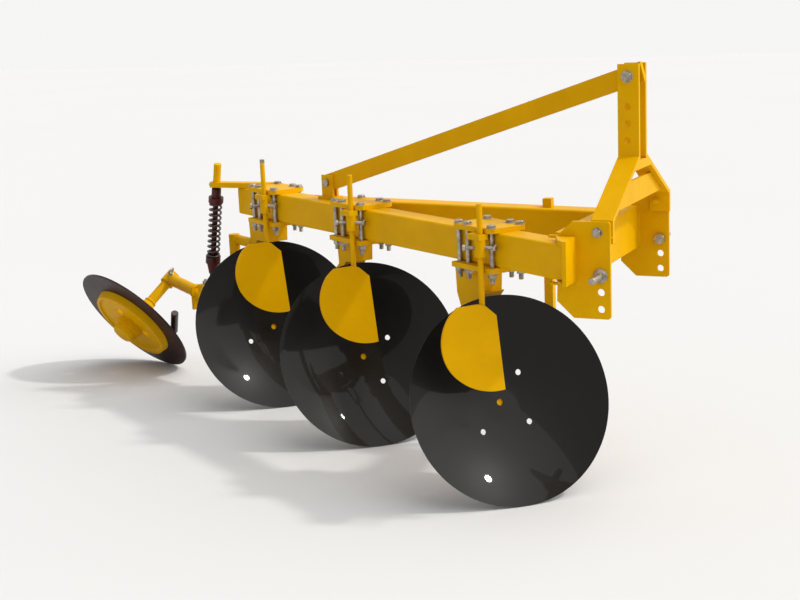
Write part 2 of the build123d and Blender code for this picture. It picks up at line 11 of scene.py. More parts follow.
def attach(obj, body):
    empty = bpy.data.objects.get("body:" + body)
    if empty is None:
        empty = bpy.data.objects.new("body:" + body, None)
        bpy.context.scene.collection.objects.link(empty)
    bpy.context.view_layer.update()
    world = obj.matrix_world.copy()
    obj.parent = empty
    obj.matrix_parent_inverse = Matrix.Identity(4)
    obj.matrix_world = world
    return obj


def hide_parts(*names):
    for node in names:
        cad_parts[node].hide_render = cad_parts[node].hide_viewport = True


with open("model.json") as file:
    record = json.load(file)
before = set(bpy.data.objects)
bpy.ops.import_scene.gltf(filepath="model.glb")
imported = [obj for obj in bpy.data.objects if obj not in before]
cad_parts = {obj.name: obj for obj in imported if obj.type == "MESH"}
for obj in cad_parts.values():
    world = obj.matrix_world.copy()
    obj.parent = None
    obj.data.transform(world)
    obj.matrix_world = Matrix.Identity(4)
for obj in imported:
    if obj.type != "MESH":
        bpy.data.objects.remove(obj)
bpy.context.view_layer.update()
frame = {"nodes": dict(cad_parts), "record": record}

bl_info = {
    "name": "Disc plough",
    "version": (1, 0, 0),
    "blender": (4, 5, 0),
    "location": "3D View > Sidebar > Plough",
    "description": "Dresses the disc plough: paint, polished discs, fixings, spring, welds and studio",
    "category": "Object",
}

# Places of the solid model, in metres: upper link holes, beam frame, discs and wheel.
HITCH = np.array((1.337, -0.2955, 0.742))
BEAM_TURN = math.radians(32)
BEAM_BACK = np.array((-math.cos(BEAM_TURN), math.sin(BEAM_TURN), 0.0))
BEAM_NEAR = np.array((-math.sin(BEAM_TURN), -math.cos(BEAM_TURN), 0.0))
BEAM_START = HITCH * (1, 1, 0) + (-0.040, -0.375, 0.0)
BEAM_LOW, BEAM_HIGH = 0.734, 0.840
BEAM_REAR = -0.035
HANGERS = {
    "front": {"clamp": 0.432, "disc": 0.328, "leg": 0.520, "rod": 0.366, "holes": 50},
    "middle": {"clamp": 1.182, "disc": 1.142, "leg": 1.267, "rod": 1.111, "holes": 31},
    "rear": {"clamp": 1.803, "disc": 1.819, "leg": 1.920, "rod": 1.742, "holes": 26},
}
CLAMP_BOLTS = ((-0.084, -0.055), (-0.084, 0.055), (0.084, -0.055), (0.084, 0.055),
               (-0.036, -0.055), (0.038, 0.055))
CLAMP_MID = 0.010
CLAMP_PLATE = 0.016
ROD_SIDE, SCREW_HEIGHT, REAR_ROD_TOP = 0.095, 0.799, 0.974
DISC_SIDE, DISC_HEIGHT = 0.022, 0.31435
DISC_AXIS = np.array((0.6448, -0.6974, 0.3128))
WHEEL_AT = np.array((HITCH[0] - 2.459, HITCH[1] + 0.811, 0.2222))
WHEEL_AXIS = np.array((-0.299, -0.7443, -0.5971))
STRUT_TOP = (2.101, 0.105, 0.933)
STRUT_LOW = (2.225, 0.105, 0.437)


def unit(vector):
    """A vector divided by its own length."""
    return np.asarray(vector, float) / np.linalg.norm(vector)


def beam_point(back, near, height):
    """Place of a point given along the beam, towards the near side and above the floor."""
    return BEAM_START + BEAM_BACK * back + BEAM_NEAR * near + np.array((0, 0, height))


def hitch_point(x, y, z):
    """Place of a point measured from the middle of the upper link holes."""
    return HITCH + (x, y, z)


def triad(axis):
    """Two level-first directions square to an axis, and the axis: the rows of a turning matrix."""
    axis = unit(axis)
    across = np.array((-axis[1], axis[0], 0.0))
    if np.linalg.norm(across) < 1e-6:
        across = np.array((1.0, 0.0, 0.0))
    across = unit(across)
    return np.array((across, np.cross(axis, across), axis))


def put(points, origin, axis):
    """Local points turned so that their third coordinate runs along axis, then moved to origin."""
    return points @ triad(axis) + np.asarray(origin)


def turned(profile, count, corner=None):
    """Rows of a profile of (radius, height) carried round the axis: x = r cos a, y = r sin a, z = h.
    corner, where given, changes each radius as a function of radius and angle."""
    angle = np.arange(count) * 2 * np.pi / count
    radius, height = np.array(profile, float).T
    grid_r = np.repeat(radius[:, None], count, 1)
    if corner is not None:
        grid_r = corner(grid_r, angle[None, :])
    grid_h = np.repeat(height[:, None], count, 1)
    return np.stack((grid_r * np.cos(angle), grid_r * np.sin(angle), grid_h), -1)


def mesh_from(name, sheets, finish, body, crease=32.0, stands_for=()):
    """One closed piece from grids of points, given as (grid, rows close, columns close).
    Neighbours in a grid become quads; doubled points are merged and the faces turned outwards."""
    points, faces, start = [], [], 0
    for grid, rows_close, columns_close in sheets:
        rows, columns = grid.shape[:2]
        index = np.arange(rows * columns).reshape(rows, columns) + start
        if rows_close:
            index = np.vstack((index, index[:1]))
        if columns_close:
            index = np.hstack((index, index[:, :1]))
        quad = np.stack((index[:-1, :-1], index[:-1, 1:], index[1:, 1:], index[1:, :-1]), -1)
        points.append(grid.reshape(-1, 3))
        faces.append(quad.reshape(-1, 4))
        start += rows * columns
    mesh = bpy.data.meshes.new(name)
    mesh.from_pydata(np.concatenate(points).tolist(), [], np.concatenate(faces).tolist())
    work = bmesh.new()
    work.from_mesh(mesh)
    bmesh.ops.remove_doubles(work, verts=work.verts, dist=2e-6)
    bmesh.ops.dissolve_degenerate(work, edges=work.edges, dist=1e-7)
    bmesh.ops.recalc_face_normals(work, faces=work.faces)
    work.to_mesh(mesh)
    work.free()
    mesh.shade_smooth()
    mesh.set_sharp_from_angle(angle=math.radians(crease))
    mesh.materials.append(finish)
    piece = bpy.data.objects.new(name, mesh)
    bpy.context.scene.collection.objects.link(piece)
    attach(piece, body)
    if stands_for:
        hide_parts(*stands_for)
    return piece


def hexagon(radius, angle):
    """Radius of a hexagon of that half width across flats: r / cos(angle from the nearest flat)."""
    third = np.pi / 3
    return radius / np.cos((angle + third / 2) % third - third / 2)


def hex_rings(half, height, bore=0.0, base=0.0):
    """Grid of a nut or bolt head: hexagon side walls, with both end faces cut by a cone.
    Row radii run bore, rounded end, full hexagon, full hexagon, rounded end, bore."""
    chamfer = half * 0.11
    rows = [(bore, 0), (half * 0.98, 0), (half, chamfer), (half, height - chamfer),
            (half * 0.98, height), (bore, height)]

    def corner(radius, angle):
        full = hexagon(radius, angle)
        full[0] = full[-1] = radius[0]
        full[1] = full[-2] = np.minimum(full[1], half)
        return full
    grid = turned(rows, 36, corner)
    grid[..., 2] += base
    return grid


def thread_rings(radius, start, end, pitch=0.002):
    """Grid of a threaded end: radius less a triangle wave of (height / pitch - angle / turn)."""
    steps = max(8, int(round((end - start) / pitch * 4)))
    count = 20
    angle = np.arange(count) * 2 * np.pi / count
    height = np.linspace(start, end, steps + 1)
    phase = (height[:, None] / pitch - angle[None, :] / (2 * np.pi)) % 1.0
    wave = 1 - np.abs(2 * phase - 1)
    grid_r = radius - 0.0009 * wave
    grid_r[0] = grid_r[-1] = radius - 0.0012
    shape = np.stack((grid_r * np.cos(angle), grid_r * np.sin(angle),
                      np.repeat(height[:, None], count, 1)), -1)
    low = shape[:1] * (0, 0, 1)
    high = shape[-1:] * (0, 0, 1)
    return np.concatenate((low, shape, high))


def ring_rings(inner, outer, start, end, edge=0.0006, count=36):
    """Grid of a flat ring with rounded edges, a closed section carried round the axis."""
    rows = [(inner, start), (outer - edge, start), (outer, start + edge), (outer, end - edge),
            (outer - edge, end), (inner, end)]
    return turned(rows, count)


def weld_rings(start, end, radius=0.0045, pitch=0.0042):
    """Grid of a straight weld bead: circles along a line, whose radius swells and falls once per
    pitch like overlapping drops, and closes to a point at both ends."""
    start, end = np.asarray(start), np.asarray(end)
    length = np.linalg.norm(end - start)
    steps = max(12, int(length / pitch * 4))
    along = np.linspace(0, 1, steps + 1)
    ripple = 1 + 0.13 * np.abs(np.sin(np.pi * along * length / pitch))
    wander = 1 + 0.10 * np.sin(along * length * 61 + length * 900)
    taper = np.clip(np.minimum(along, 1 - along) * length / (radius * 1.1), 0, 1) ** 0.5
    grid_r = (radius * ripple * wander * taper)[:, None]
    angle = np.arange(10)[None, :] * 2 * np.pi / 10
    local = np.stack((grid_r * np.cos(angle), grid_r * np.sin(angle),
                      np.repeat(along[:, None] * length, 10, 1)), -1)
    return put(local, start, end - start)


def weld_circle(centre, axis, ring, radius=0.0045, pitch=0.0042):
    """Grid of a weld bead round a bar: a torus whose thin radius ripples once per pitch."""
    count = max(48, int(2 * np.pi * ring / pitch * 3))
    around = np.arange(count) * 2 * np.pi / count
    thin = radius * (1 + 0.13 * np.abs(np.sin(around * ring * np.pi / pitch)))
    angle = np.arange(10) * 2 * np.pi / 10
    out = ring + thin[:, None] * np.cos(angle)
    local = np.stack((out * np.cos(around)[:, None], out * np.sin(around)[:, None],
                      thin[:, None] * np.sin(angle)), -1)
    return put(local, centre, axis)


# Finishes

def add(tree, kind, place=(0, 0), **values):
    """A shader node with its values set, by property name or by socket name."""
    item = tree.nodes.new(kind)
    item.location = place
    for key, value in values.items():
        if key in item.inputs:
            item.inputs[key].default_value = value
        else:
            setattr(item, key, value)
    return item


def group(name, inputs, outputs):
    """An empty shader node group with float or colour sockets."""
    tree = bpy.data.node_groups.new(name, "ShaderNodeTree")
    for label, value in inputs:
        kind = "NodeSocketColor" if isinstance(value, tuple) else "NodeSocketFloat"
        socket = tree.interface.new_socket(name=label, in_out="INPUT", socket_type=kind)
        socket.default_value = value
    for label, kind in outputs:
        tree.interface.new_socket(name=label, in_out="OUTPUT", socket_type=kind)
    return tree, add(tree, "NodeGroupInput", (-900, 0)), add(tree, "NodeGroupOutput", (500, 0))


def sprayed_coat():
    """Group: blotchy tone and the fine orange peel of sprayed paint over rolled steel."""
    if "sprayed coat" in bpy.data.node_groups:
        return bpy.data.node_groups["sprayed coat"]
    tree, source, sink = group("sprayed coat", (("Patch size", 6.0), ("Peel size", 420.0)), (
        ("Tone", "NodeSocketFloat"), ("Gloss", "NodeSocketFloat"), ("Height", "NodeSocketFloat")))
    where = add(tree, "ShaderNodeTexCoord", (-900, -250))
    patch = add(tree, "ShaderNodeTexNoise", (-600, 150), Detail=4.0, Roughness=0.55)
    peel = add(tree, "ShaderNodeTexNoise", (-600, -150), Detail=1.5, Roughness=0.4)
    wave = add(tree, "ShaderNodeTexNoise", (-600, -420), Scale=46.0, Detail=2.0, Roughness=0.5)
    for item in (patch, peel, wave):
        tree.links.new(where.outputs["Object"], item.inputs["Vector"])
    tree.links.new(source.outputs["Patch size"], patch.inputs["Scale"])
    tree.links.new(source.outputs["Peel size"], peel.inputs["Scale"])
    tone = add(tree, "ShaderNodeMapRange", (-300, 150))
    tone.inputs["From Min"].default_value = 0.32
    tone.inputs["From Max"].default_value = 0.68
    tree.links.new(patch.outputs["Fac"], tone.inputs["Value"])
    tree.links.new(tone.outputs["Result"], sink.inputs["Tone"])
    tree.links.new(wave.outputs["Fac"], sink.inputs["Gloss"])
    total = add(tree, "ShaderNodeMath", (-300, -250), operation="MULTIPLY_ADD")
    total.inputs[1].default_value = 2.2
    tree.links.new(wave.outputs["Fac"], total.inputs[0])
    tree.links.new(peel.outputs["Fac"], total.inputs[2])
    tree.links.new(total.outputs[0], sink.inputs["Height"])
    return tree


def rounded_edge():
    """Group: a small round on sharp edges, and a mask of where that round turns the surface."""
    if "rounded edge" in bpy.data.node_groups:
        return bpy.data.node_groups["rounded edge"]
    tree, source, sink = group("rounded edge", (("Round", 0.002),), (
        ("Edge", "NodeSocketFloat"), ("Normal", "NodeSocketVector")))
    bevel = add(tree, "ShaderNodeBevel", (-600, 0), samples=6)
    tree.links.new(source.outputs["Round"], bevel.inputs["Radius"])
    flat = add(tree, "ShaderNodeNewGeometry", (-600, -250))
    dot = add(tree, "ShaderNodeVectorMath", (-350, -100), operation="DOT_PRODUCT")
    tree.links.new(bevel.outputs["Normal"], dot.inputs[0])
    tree.links.new(flat.outputs["Normal"], dot.inputs[1])
    mask = add(tree, "ShaderNodeMapRange", (-100, -100))
    mask.inputs["From Min"].default_value = 0.995
    mask.inputs["From Max"].default_value = 0.80
    tree.links.new(dot.outputs["Value"], mask.inputs["Value"])
    tree.links.new(mask.outputs["Result"], sink.inputs["Edge"])
    tree.links.new(bevel.outputs["Normal"], sink.inputs["Normal"])
    return tree


def use_group(tree, source, place=(-900, 0), **values):
    """A group node placed in a material, with its own values."""
    item = add(tree, "ShaderNodeGroup", place, node_tree=source)
    for key, value in values.items():
        item.inputs[key.replace("_", " ")].default_value = value
    return item


def painted(name, colour, deep, pale, shine=(0.24, 0.40), peel=0.00012, radius=0.002,
            coat=0.35, edge_amount=0.5, patch=6.0, metal=0.0, level=0.5):
    """A sprayed finish: tone drifts from deep to colour; edges are painted paler, a painted highlight and
    partly thin paint.
    """
    if name in bpy.data.materials:
        return bpy.data.materials[name]
    finish = bpy.data.materials.new(name)
    finish.use_nodes = True
    tree = finish.node_tree
    shader = tree.nodes["Principled BSDF"]
    coatings = use_group(tree, sprayed_coat(), (-900, 200), Patch_size=patch)
    edge = use_group(tree, rounded_edge(), (-900, -200), Round=radius)
    base = add(tree, "ShaderNodeMix", (-600, 250), data_type="RGBA")
    base.inputs["A"].default_value = (*deep, 1)
    base.inputs["B"].default_value = (*colour, 1)
    tree.links.new(coatings.outputs["Tone"], base.inputs["Factor"])
    amount = add(tree, "ShaderNodeMath", (-600, 0), operation="MULTIPLY")
    amount.inputs[1].default_value = edge_amount
    tree.links.new(edge.outputs["Edge"], amount.inputs[0])
    # Painted edge highlight: the edge mask mixes in the pale colour, partly also as thin paint on edges.
    thin_paint_and_highlight = add(tree, "ShaderNodeMix", (-350, 200), data_type="RGBA")
    thin_paint_and_highlight.inputs["B"].default_value = (*pale, 1)
    tree.links.new(base.outputs["Result"], thin_paint_and_highlight.inputs["A"])
    tree.links.new(amount.outputs[0], thin_paint_and_highlight.inputs["Factor"])
    tree.links.new(thin_paint_and_highlight.outputs["Result"], shader.inputs["Base Color"])
    gloss = add(tree, "ShaderNodeMapRange", (-350, -50))
    gloss.inputs["To Min"].default_value = shine[0]
    gloss.inputs["To Max"].default_value = shine[1]
    tree.links.new(coatings.outputs["Gloss"], gloss.inputs["Value"])
    tree.links.new(gloss.outputs["Result"], shader.inputs["Roughness"])
    bump = add(tree, "ShaderNodeBump", (-350, -350), Strength=0.5, Distance=peel)
    tree.links.new(coatings.outputs["Height"], bump.inputs["Height"])
    tree.links.new(edge.outputs["Normal"], bump.inputs["Normal"])
    tree.links.new(bump.outputs["Normal"], shader.inputs["Normal"])
    shader.inputs["Coat Weight"].default_value = coat
    shader.inputs["Coat Roughness"].default_value = 0.18
    shader.inputs["Metallic"].default_value = metal
    shader.inputs["Specular IOR Level"].default_value = level
    return finish


def implement_yellow():
    look = bpy.context.scene.plough_paint
    # The pale yellow is the painted edge highlight colour, partly also thin paint on edges.
    return painted("implement_yellow", tuple(look.yellow), tuple(look.yellow_deep),
                   (0.92, 0.58, 0.02), shine=(0.36, 0.50), coat=0.0, edge_amount=0.2,
                   level=0.04)


def dark_rubbed_iron():
    return painted("dark_rubbed_iron", (0.040, 0.015, 0.015), (0.014, 0.007, 0.007),
                   (0.08, 0.05, 0.05), shine=(0.34, 0.50), coat=0.03, edge_amount=0.3, level=0.16)


def red_brown_primer():
    return painted("red_brown_primer", (0.080, 0.007, 0.009), (0.038, 0.004, 0.005),
                   (0.15, 0.03, 0.03), shine=(0.34, 0.50), coat=0.05, edge_amount=0.3, patch=25.0,
                   level=0.25)


def dark_spring_steel():
    return painted("dark_spring_steel", (0.045, 0.022, 0.017), (0.018, 0.010, 0.009),
                   (0.12, 0.07, 0.05), shine=(0.28, 0.42), radius=0.0008, coat=0.2, patch=30.0)


def plated_steel():
    return painted("plated_steel", (0.46, 0.42, 0.36), (0.22, 0.19, 0.15), (0.62, 0.60, 0.56),
                   shine=(0.26, 0.44), peel=0.00005, radius=0.0008, coat=0.0, patch=60.0,
                   metal=0.85)


def polished_black():
    """Glossy black enamel on the dishes: a broad sheen under a thin smooth coat, with a film of
    dust that changes tone and roughness, and a faint ripple."""
    name = "polished_black"
    if name in bpy.data.materials:
        return bpy.data.materials[name]
    finish = bpy.data.materials.new(name)
    finish.use_nodes = True
    tree = finish.node_tree
    shader = tree.nodes["Principled BSDF"]
    where = add(tree, "ShaderNodeTexCoord", (-1100, 0))
    film = add(tree, "ShaderNodeTexNoise", (-850, 150), Scale=3.2, Detail=5.0, Roughness=0.6)
    speck = add(tree, "ShaderNodeTexNoise", (-850, -100), Scale=380.0, Detail=2.0)
    ripple = add(tree, "ShaderNodeTexNoise", (-850, -350), Scale=9.0, Detail=1.0)
    for item in (film, speck, ripple):
        tree.links.new(where.outputs["Object"], item.inputs["Vector"])
    colour = add(tree, "ShaderNodeMix", (-350, 250), data_type="RGBA")
    colour.inputs["A"].default_value = (0.0020, 0.0017, 0.0013, 1)
    colour.inputs["B"].default_value = (0.0050, 0.0046, 0.0040, 1)
    tree.links.new(film.outputs["Fac"], colour.inputs["Factor"])
    tree.links.new(colour.outputs["Result"], shader.inputs["Base Color"])
    rough = add(tree, "ShaderNodeMapRange", (-350, 0))
    rough.inputs["To Min"].default_value = 0.30
    rough.inputs["To Max"].default_value = 0.52
    tree.links.new(film.outputs["Fac"], rough.inputs["Value"])
    tree.links.new(rough.outputs["Result"], shader.inputs["Roughness"])
    bump = add(tree, "ShaderNodeBump", (-350, -300), Strength=0.25, Distance=0.00008)
    total = add(tree, "ShaderNodeMath", (-600, -250), operation="MULTIPLY_ADD")
    total.inputs[1].default_value = 0.12
    tree.links.new(speck.outputs["Fac"], total.inputs[0])
    tree.links.new(ripple.outputs["Fac"], total.inputs[2])
    tree.links.new(total.outputs[0], bump.inputs["Height"])
    tree.links.new(bump.outputs["Normal"], shader.inputs["Normal"])
    shader.inputs["Specular IOR Level"].default_value = 0.14
    shader.inputs["Coat Weight"].default_value = 0.30
    shader.inputs["Coat Roughness"].default_value = 0.035
    shader.inputs["Coat IOR"].default_value = 1.36
    return finish


# Settings

class PaintSettings(bpy.types.PropertyGroup):
    yellow: FloatVectorProperty(
        name="Yellow", description="Paint of the frame, linear colour", subtype="COLOR", size=3,
        min=0.0, max=1.0, default=(0.76, 0.405, 0.0003))
    yellow_deep: FloatVectorProperty(
        name="Yellow, thick", description="Paint where it lies thicker", subtype="COLOR", size=3,
        min=0.0, max=1.0, default=(0.68, 0.355, 0.0003))


class SpringSettings(bpy.types.PropertyGroup):
    turns: FloatProperty(name="Turns", description="Turns of the strut spring", default=11.5,
                         min=4.0, max=20.0)
    wire: FloatProperty(name="Wire", description="Thickness of the spring wire", default=0.0088,
                        min=0.004, max=0.012, unit="LENGTH")


class FixingSettings(bpy.types.PropertyGroup):
    nut_half: FloatProperty(name="Nut", description="Half the width across the flats of a nut",
                            default=0.012, min=0.005, max=0.03, unit="LENGTH")
    thread: FloatProperty(name="Thread pitch", description="Distance between two thread crests",
                          default=0.002, min=0.001, max=0.004, unit="LENGTH")


class DishSettings(bpy.types.PropertyGroup):
    segments: IntProperty(name="Segments", description="Steps round a quarter of a dish",
                          default=32, min=8, max=64)


class StudioSettings(bpy.types.PropertyGroup):
    lens: FloatProperty(name="Lens", description="Focal length in millimetres", default=65.76,
                        min=20.0, max=200.0)
    floor: FloatVectorProperty(
        name="Floor", description="Colour of floor and backdrop", subtype="COLOR", size=3,
        min=0.0, max=1.0, default=(0.70, 0.70, 0.705))
    sun: FloatProperty(name="Key light", description="Strength of the key light", default=1.25,
                       min=0.0, max=10.0)
    broad: FloatProperty(name="Broad light", description="Strength of the wide light around the key",
                         default=2.25, min=0.0, max=10.0)
    sky: FloatProperty(name="Fill light", description="Strength of the light all round",
                       default=0.53, min=0.0, max=2.0)


# Pieces

class PLOUGH_OT_paint(bpy.types.Operator):
    """Gives every solid of the frame its paint or metal"""
    bl_idname = "plough.paint"
    bl_label = "Paint the frame"

    def execute(self, context):
        finishes = {"yellow_paint": implement_yellow(), "disc_black": polished_black(),
                    "wheel_iron": dark_rubbed_iron(), "zinc": plated_steel(),
                    "spring_steel": dark_spring_steel(), "strut_brown": red_brown_primer()}
        for part in frame["record"]["subparts"]:
            solid = frame["nodes"][part["node"]]
            solid.data.materials.clear()
            solid.data.materials.append(finishes[part["material_slot"]])
        return {"FINISHED"}


def dish_grids(quarter, first):
    """Front and back of a dish with four through holes: height is that of a sphere, outside a
    flat middle. Between 95 and 131 mm each quarter is blended from its hole's circle to its own
    border, point = (1 - t) hole + t border, in polar coordinates."""
    rim, deep, thick, flat = 0.330, 0.1005, 0.006, 0.060
    sphere = (rim ** 2 + deep ** 2) / (2 * deep)

    def height(radius):
        return -deep + sphere - np.sqrt(sphere ** 2 - np.maximum(radius, flat) ** 2)

    def lift(radius, angle, back):
        thin = np.clip((radius - 0.300) / 0.030, 0, 1) ** 2 * 0.0042
        drop = (thick - thin) if back else 0.0
        return np.stack((radius * np.cos(angle), radius * np.sin(angle), height(radius) - drop), -1)

    around = 4 * quarter
    angle = np.arange(around) * 2 * np.pi / around
    inside = np.array((0.011, 0.030, 0.060, 0.072, 0.084, 0.095))
    outside = np.concatenate((np.linspace(0.131, 0.30, 12), (0.308, 0.316, 0.323, 0.3275, 0.330)))
    side = 4
    span = np.linspace(-np.pi / 4, np.pi / 4, quarter + 1)
    steps = np.linspace(0.095, 0.131, side + 1)
    border = np.concatenate((
        np.stack((np.full(side, np.pi / 4), steps[:-1]), -1),
        np.stack((span[::-1][:-1], np.full(quarter, 0.131)), -1),
        np.stack((np.full(side, -np.pi / 4), steps[::-1][:-1]), -1),
        np.stack((span[:-1], np.full(quarter, 0.095)), -1)))
    turn = np.arctan2(border[:, 1] - 0.113, border[:, 0] * 0.113)
    hole = np.stack((0.0095 * np.cos(turn) / 0.113, 0.113 + 0.0095 * np.sin(turn)), -1)
    blend = np.array((0, 0.12, 0.3, 0.55, 0.8, 1.0))[:, None, None]
    patch = (1 - blend) * hole + blend * border
    grids = []
    for back in (False, True):
        for radii in (inside, outside):
            grid_r, grid_a = np.meshgrid(radii, angle + first + np.pi / 4, indexing="ij")
            grids.append((lift(grid_r, grid_a, back), False, True))
        for number in range(4):
            grids.append((lift(patch[..., 1], patch[..., 0] + first + number * np.pi / 2, back),
                          False, True))
    walls = []
    for number in range(4):
        turn_at = hole[:, 0] + first + number * np.pi / 2
        walls.append((hole[:, 1], turn_at))
    walls.append((np.full(around, 0.011), angle + first + np.pi / 4))
    walls.append((np.full(around, 0.330), angle + first + np.pi / 4))
    for radii, turns in walls:
        grids.append((np.stack((lift(radii, turns, False), lift(radii, turns, True))), False, True))
    return grids


class PLOUGH_OT_dishes(bpy.types.Operator):
    """Three smooth dishes with a ground rim, each with its four spare fixing holes"""
    bl_idname = "plough.dishes"
    bl_label = "Dishes"

    def execute(self, context):
        for name, row in HANGERS.items():
            grids = dish_grids(context.scene.plough_dish.segments, math.radians(row["holes"]))
            centre = beam_point(row["disc"], DISC_SIDE, DISC_HEIGHT)
            placed = [(put(grid, centre, DISC_AXIS), a, b) for grid, a, b in grids]
            mesh_from("dish_" + name, placed, polished_black(), "disc_" + name, crease=28,
                      stands_for=("disc_" + name,))
        return {"FINISHED"}


class PLOUGH_OT_clamp_fixings(bpy.types.Operator):
    """Clamp bolts of the three hangers: hexagon heads, washers, nuts and threaded tails"""
    bl_idname = "plough.clamp_fixings"
    bl_label = "Clamp fixings"

    def execute(self, context):
        half = context.scene.plough_fixings.nut_half
        pitch = context.scene.plough_fixings.thread
        top, low = BEAM_HIGH + CLAMP_PLATE, BEAM_LOW - CLAMP_PLATE
        sheets = []
        for row in HANGERS.values():
            for ds, dy in CLAMP_BOLTS:
                parts = (
                    ring_rings(0.0079, 0.0165, top, top + 0.0025),
                    hex_rings(half, 0.0075, 0.0, top + 0.0025),
                    turned([(0, low - 0.002), (0.0078, low), (0.0078, top), (0, top + 0.002)], 24),
                    ring_rings(0.0079, 0.0165, low - 0.003, low),
                    hex_rings(half, 0.013, 0.0079, low - 0.016),
                    thread_rings(0.0079, low - 0.034, low - 0.001, pitch))
                foot = beam_point(row["clamp"] + ds, CLAMP_MID + dy, 0.0)
                turn = math.radians(17 * (len(sheets) % 7))
                spin = np.array(((math.cos(turn), math.sin(turn), 0),
                                 (-math.sin(turn), math.cos(turn), 0), (0, 0, 1)))
                closed = (True, False, False, True, True, False)
                sheets += [(grid @ spin + foot, close, True) for grid, close in zip(parts, closed)]
        mesh_from("clamp_fixings", sheets, plated_steel(), "frame", stands_for=("clamp_bolts",))
        return {"FINISHED"}


class PLOUGH_OT_spring(bpy.types.Operator):
    """Coil spring of the rear strut"""
    bl_idname = "plough.spring"
    bl_label = "Strut spring"

    def execute(self, context):
        look = context.scene.plough_spring
        top, low = beam_point(*STRUT_TOP), beam_point(*STRUT_LOW)
        start, end = 0.161, 0.395
        coil, wire = 0.0226, look.wire / 2
        # Middle line: x = R cos a, y = R sin a, height eased so that the end turns lie flat.
        steps = int(look.turns * 36)
        share = np.linspace(0, 1, steps + 1)
        around = share * look.turns * 2 * np.pi
        flat = 1.0 / look.turns
        rise = np.clip((share - flat * 0.8) / (1 - flat * 1.6), 0, 1)
        height = start + wire + rise * (end - start - 2 * wire)
        line = np.stack((coil * np.cos(around), coil * np.sin(around), height), -1)
        ahead = np.gradient(line, axis=0)
        ahead /= np.linalg.norm(ahead, axis=1)[:, None]
        out = np.stack((np.cos(around), np.sin(around), 0 * around), -1)
        side = np.cross(ahead, out)
        angle = np.arange(12) * 2 * np.pi / 12
        ring = (out[:, None] * np.cos(angle)[None, :, None]
                + side[:, None] * np.sin(angle)[None, :, None]) * wire
        grid = line[:, None] + ring
        grid = np.concatenate((grid[:1] * 0 + line[:1, None], grid, grid[:1] * 0 + line[-1:, None]))
        mesh_from("strut_coil", [(put(grid, top, low - top), False, True)], dark_spring_steel(),
                  "frame", crease=60, stands_for=("strut_spring",))
        return {"FINISHED"}


class PLOUGH_OT_rear_fixings(bpy.types.Operator):
    """Rear end: strut cone, bracket and lug nuts, eye bolt, worn rod end and wheel peg"""
    bl_idname = "plough.rear_fixings"
    bl_label = "Rear fixings"

    def execute(self, context):
        steel = plated_steel()
        top, low = beam_point(*STRUT_TOP), beam_point(*STRUT_LOW)
        cone = [(0.0112, 0.4250), (0.0250, 0.4250), (0.0255, 0.4262), (0.0235, 0.4330),
                (0.0155, 0.4660), (0.0150, 0.4700), (0.0112, 0.4705)]
        mesh_from("strut_cone", [(put(turned(cone, 40), top, low - top), True, True)],
                  red_brown_primer(), "frame")
        end = beam_point(2.121, 0.105, BEAM_HIGH + 0.010) + (-0.018, 0, 0)
        back = np.array((-1.0, 0.0, 0.0))
        sheets = [(put(ring_rings(0.0060, 0.0125, 0, 0.0025), end, back), True, True),
                  (put(hex_rings(0.0095, 0.0085, 0.0060, 0.0025), end, back), True, True),
                  (put(thread_rings(0.0061, 0.0, 0.016, 0.0016), end, back), False, True)]
        lug, above = beam_point(2.295, 0.100, 0.418), np.array((0.0, 0.0, 1.0))
        sheets += [(put(ring_rings(0.0080, 0.0150, 0, 0.0025), lug, above), True, True),
                   (put(hex_rings(0.0120, 0.0110, 0.0080, 0.0025), lug, above), True, True),
                   (put(thread_rings(0.0081, -0.010, 0.021), lug, above), False, True)]
        axis = unit(WHEEL_AXIS)
        elbow = WHEEL_AT - axis * 0.260
        # Eye bolt: a shank square to the elbow sleeve and a ring, centre line x = R cos a, z = R sin a.
        out = unit(np.cross(axis, np.cross((0.55, -0.1, 0.83), axis)))
        foot = elbow - axis * 0.006 + out * 0.030
        sheets.append((put(hex_rings(0.0110, 0.009, 0.0060), foot, out), True, True))
        sheets.append((put(thread_rings(0.0061, 0.0, 0.024, 0.0016), foot, out), False, True))
        around = np.arange(40) * 2 * np.pi / 40
        small = np.arange(12) * 2 * np.pi / 12
        wide = 0.0150 + 0.0042 * np.cos(small)[None, :]
        ring = np.stack((wide * np.cos(around)[:, None], wide * np.sin(around)[:, None],
                         np.repeat(0.0042 * np.sin(small)[None, :], 40, 0)), -1)
        sheets.append((put(ring, foot + out * 0.038, np.cross(axis, out)), True, True))
        # Worn end of the rear scraper rod: a thin sleeve and cap of bare steel over the paint.
        thin_paint_and_highlight = [(0, -0.0125), (0.0091, -0.0120), (0.0093, -0.0110), (0.0092, -0.0002),
                (0.0084, 0.0006), (0, 0.0006)]
        foot = beam_point(HANGERS["rear"]["rod"], ROD_SIDE, REAR_ROD_TOP)
        sheets.append((put(turned(thin_paint_and_highlight, 32), foot, above), False, True))
        mesh_from("rear_fixings", sheets, steel, "frame")

        # Bent bar from the axle's cone to a black peg behind the wheel, in the wheel's own directions.
        path = np.array(((0.030, -0.022, -0.084), (0.100, -0.075, -0.072), (0.150, -0.095, -0.062),
                         (0.217, 0.000, -0.088))) @ triad(WHEEL_AXIS) + WHEEL_AT
        sheets = []
        for first, last, radius in zip(path[:-1], path[1:], (0.006, 0.006, 0.016)):
            length = np.linalg.norm(last - first)
            bar = [(0, -0.003), (radius * 0.8, -0.003), (radius, 0.0), (radius, length),
                   (radius * 0.8, length + 0.003), (0, length + 0.003)]
            sheets.append((put(turned(bar, 24), first, last - first), False, True))
        mesh_from("wheel_peg", sheets, dark_spring_steel(), "frame")
        return {"FINISHED"}


